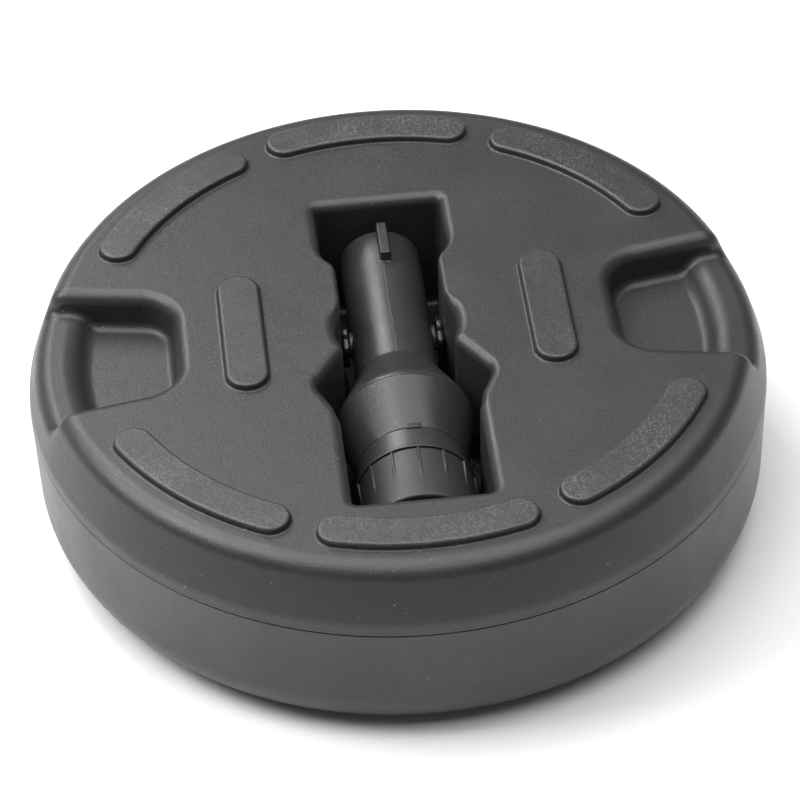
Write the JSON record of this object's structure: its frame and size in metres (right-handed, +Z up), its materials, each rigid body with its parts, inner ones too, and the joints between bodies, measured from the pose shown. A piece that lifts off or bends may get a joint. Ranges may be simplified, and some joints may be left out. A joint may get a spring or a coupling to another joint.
{
  "type": "parasol base",
  "caption": "Round fillable parasol base, packed upside down with its pole holder stowed in a recess of the underside, between the feet.",
  "frame": {"origin": "centre of the top face, which the packed base lies on: the lowest plane of the object", "axes": "The base is upside down, as it is packed. +Z points up out of the underside, which in use faces the ground. Y runs along the stowed pole holder, with the pole tube's mouth towards +Y and the lock nut towards -Y. The two hand grips are at +X and -X."},
  "size_m": [0.5, 0.5, 0.149],
  "materials": {
    "tank_plastic": "fine-grained dark grey polyethylene with light scuffs",
    "holder_plastic": "semi-matte dark grey plastic with a soft highlight",
    "knob_plastic": "glossy black plastic",
    "stud_steel": "zinc-plated steel",
    "insert_brass": "plain brass",
    "seal_rubber": "matte black rubber"
  },
  "bodies": {
    "tank": {"underside_shell": "tank_plastic", "top_shell": "tank_plastic"},
    "holder": {"pole_holder": "holder_plastic", "clamp_insert_right": "insert_brass", "clamp_insert_left": "insert_brass"},
    "washer": {"nut_washer": "holder_plastic"},
    "nut": {"lock_nut": "holder_plastic"},
    "pad_right": {"clamp_pad_right": "seal_rubber"},
    "knob_right": {"clamp_stud_right": "stud_steel", "clamp_knob_right": "knob_plastic"},
    "pad_left": {"clamp_pad_left": "seal_rubber"},
    "knob_left": {"clamp_stud_left": "stud_steel", "clamp_knob_left": "knob_plastic"},
    "seal": {"filler_seal": "seal_rubber"},
    "cap": {"filler_cap": "holder_plastic"}
  },
  "joints": [
    {"name": "holder_lift", "type": "slide", "parent": "tank", "child": "holder", "axis": [0, 0, 1], "range_m": [0, 0.11]},
    {"name": "washer_slide", "type": "slide", "parent": "holder", "child": "washer", "axis": [0, -1, 0], "range_m": [0, 0.0091]},
    {"name": "nut_turn", "type": "hinge", "parent": "washer", "child": "nut", "pos_m": [0, -0.13, 0.094], "axis": [0, -1, 0], "range_deg": [0, 540]},
    {"name": "pad_right_slide", "type": "slide", "parent": "holder", "child": "pad_right", "axis": [-1, 0, 0], "range_m": [0, 0.00205]},
    {"name": "knob_right_turn", "type": "hinge", "parent": "pad_right", "child": "knob_right", "pos_m": [0.03, 0.0355, 0.094], "axis": [-1, 0, 0], "range_deg": [0, 576]},
    {"name": "pad_left_slide", "type": "slide", "parent": "holder", "child": "pad_left", "axis": [1, 0, 0], "range_m": [0, 0.00205]},
    {"name": "knob_left_turn", "type": "hinge", "parent": "pad_left", "child": "knob_left", "pos_m": [-0.03, 0.0355, 0.094], "axis": [1, 0, 0], "range_deg": [0, 576]},
    {"name": "seal_slide", "type": "slide", "parent": "tank", "child": "seal", "axis": [0, 0, -1], "range_m": [0, 0.0081]},
    {"name": "cap_turn", "type": "hinge", "parent": "seal", "child": "cap", "pos_m": [0.11314, 0.11314, 0.012], "axis": [0, 0, -1], "range_deg": [0, 720]}
  ],
  "couplings": [
    {"joint": "washer_slide", "follows": "nut_turn", "m_per_rad": 0.00095493},
    {"joint": "pad_right_slide", "follows": "knob_right_turn", "m_per_rad": 0.00019894},
    {"joint": "pad_left_slide", "follows": "knob_left_turn", "m_per_rad": 0.00019894},
    {"joint": "seal_slide", "follows": "cap_turn", "m_per_rad": 0.00063662}
  ]
}
